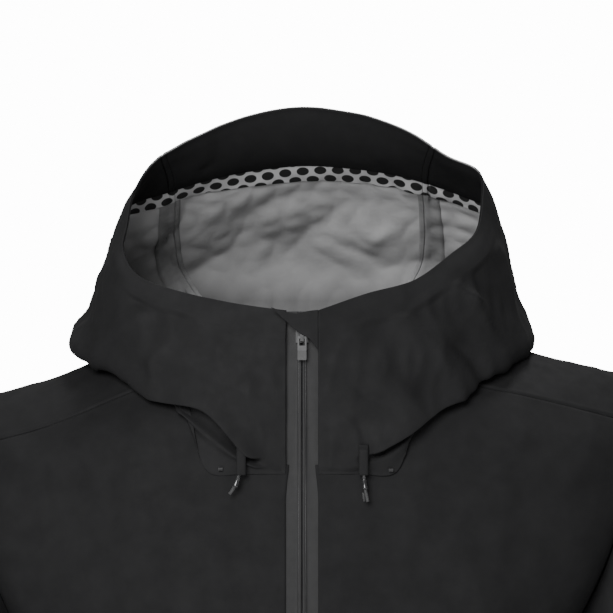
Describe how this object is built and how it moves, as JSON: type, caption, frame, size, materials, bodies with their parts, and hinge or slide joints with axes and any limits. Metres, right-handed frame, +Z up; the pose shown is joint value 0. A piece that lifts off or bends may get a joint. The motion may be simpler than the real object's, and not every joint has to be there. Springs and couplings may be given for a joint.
{
  "type": "hardshell jacket",
  "caption": "Hooded waterproof shell jacket with a stiffened visor, water-shielded front zip, cuff tabs and zipped hand pockets.",
  "frame": {"origin": "centre of the hang loop's eye, inside the back of the neck", "axes": "+Z up, the front faces -Y, the wearer's left is +X"},
  "size_m": [0.7998, 0.306, 0.9331],
  "materials": {
    "shell": "matte woven face with a fine plain weave",
    "hood_shell": "matte woven face",
    "lining": "woven backer, soft sheen",
    "facing": "matte black",
    "zip_tape": "film-laminated knit tape, satin",
    "zip_coil": "moulded coil under film",
    "metal_black": "black lacquer",
    "pull_grip": "moulded over the link",
    "dot_tape": "woven tape with round dots",
    "seam_tape": "glued film tape",
    "cord": "braided elastic",
    "cord_end": "moulded, glossy",
    "mesh": "pocket mesh",
    "stiffener": "laminated foam sheet",
    "hook": "moulded hook patch",
    "loop": "pile loop patch"
  },
  "bodies": {
    "shell": {"front_panel_left": "shell", "front_panel_right": "shell", "yoke_sleeve_left": "shell", "yoke_sleeve_right": "shell", "under_sleeve_left": "shell", "under_sleeve_right": "shell", "back_panel": "shell", "hem_facing_left": "facing", "hem_facing_right": "facing", "hem_facing_back": "facing", "hood_side_left": "hood_shell", "hood_side_right": "hood_shell", "hood_centre": "hood_shell", "hood_brim_stiffener": "stiffener", "hood_brim_facing": "facing", "hood_brim_tape": "dot_tape", "hood_seam_tape_left": "seam_tape", "hood_seam_tape_right": "seam_tape", "neck_tape": "facing", "hang_loop": "cord", "hood_cord_left": "cord", "hood_cord_right": "cord", "hood_cord_end_left": "cord_end", "hood_cord_end_right": "cord_end", "hood_cord_tunnel_left": "hood_shell", "hood_cord_tunnel_right": "hood_shell", "zip_coil_left": "zip_coil", "zip_coil_right": "zip_coil", "zip_tape_left": "zip_tape", "zip_tape_right": "zip_tape", "zip_top_stops": "zip_coil", "zip_box": "zip_coil", "zip_pin": "zip_coil", "storm_flap": "lining", "pocket_zip_tape_left": "zip_tape", "pocket_zip_tape_right": "zip_tape", "pocket_zip_coil_left": "zip_coil", "pocket_zip_coil_right": "zip_coil", "pocket_bag_left": "mesh", "pocket_bag_right": "mesh", "cuff_facing_left": "facing", "cuff_facing_right": "facing", "cuff_loop_patch_left": "loop", "cuff_loop_patch_right": "loop"},
    "zip_slider": {"zip_slider": "metal_black"},
    "zip_pull": {"zip_pull_link": "metal_black", "zip_pull_grip": "pull_grip"},
    "garage_flap": {"zip_garage_flap": "hood_shell"},
    "pocket_slider_left": {"pocket_slider_left": "metal_black"},
    "pocket_slider_right": {"pocket_slider_right": "metal_black"},
    "pocket_pull_left": {"pocket_pull_left": "pull_grip"},
    "pocket_pull_right": {"pocket_pull_right": "pull_grip"},
    "cuff_tab_left": {"cuff_tab_left": "shell", "cuff_hook_patch_left": "hook"},
    "cuff_tab_right": {"cuff_tab_right": "shell", "cuff_hook_patch_right": "hook"}
  },
  "joints": [
    {"name": "front_zip", "type": "slide", "parent": "shell", "child": "zip_slider", "axis": [0, 0, -1], "range_m": [0, 0.675]},
    {"name": "zip_pull_swing", "type": "hinge", "parent": "zip_slider", "child": "zip_pull", "pos_m": [0, -0.204, 0.0003], "axis": [-1, 0, 0], "range_deg": [0, 95]},
    {"name": "garage_flap_lift", "type": "hinge", "parent": "shell", "child": "garage_flap", "pos_m": [0.0133, -0.2072, 0.007], "axis": [0, 0, 1], "range_deg": [0, 110]},
    {"name": "pocket_zip_left", "type": "slide", "parent": "shell", "child": "pocket_slider_left", "axis": [0.1286, 0.0484, -0.9905], "range_m": [0, 0.15]},
    {"name": "pocket_pull_swing_left", "type": "hinge", "parent": "pocket_slider_left", "child": "pocket_pull_left", "pos_m": [0.12952, -0.18471, -0.43273], "axis": [-0.9043, -0.4042, -0.1371], "range_deg": [0, 120]},
    {"name": "cuff_tab_lift_left", "type": "hinge", "parent": "shell", "child": "cuff_tab_left", "pos_m": [0.38346, -0.07039, -0.57932], "axis": [-0.1531, 0.177, 0.9722], "range_deg": [0, 100]},
    {"name": "pocket_zip_right", "type": "slide", "parent": "shell", "child": "pocket_slider_right", "axis": [-0.1286, 0.0484, -0.9905], "range_m": [0, 0.15]},
    {"name": "pocket_pull_swing_right", "type": "hinge", "parent": "pocket_slider_right", "child": "pocket_pull_right", "pos_m": [-0.12952, -0.18471, -0.43273], "axis": [-0.9043, 0.4042, 0.1371], "range_deg": [0, 120]},
    {"name": "cuff_tab_lift_right", "type": "hinge", "parent": "shell", "child": "cuff_tab_right", "pos_m": [-0.38346, -0.07039, -0.57932], "axis": [-0.1531, -0.177, -0.9722], "range_deg": [0, 100]}
  ]
}
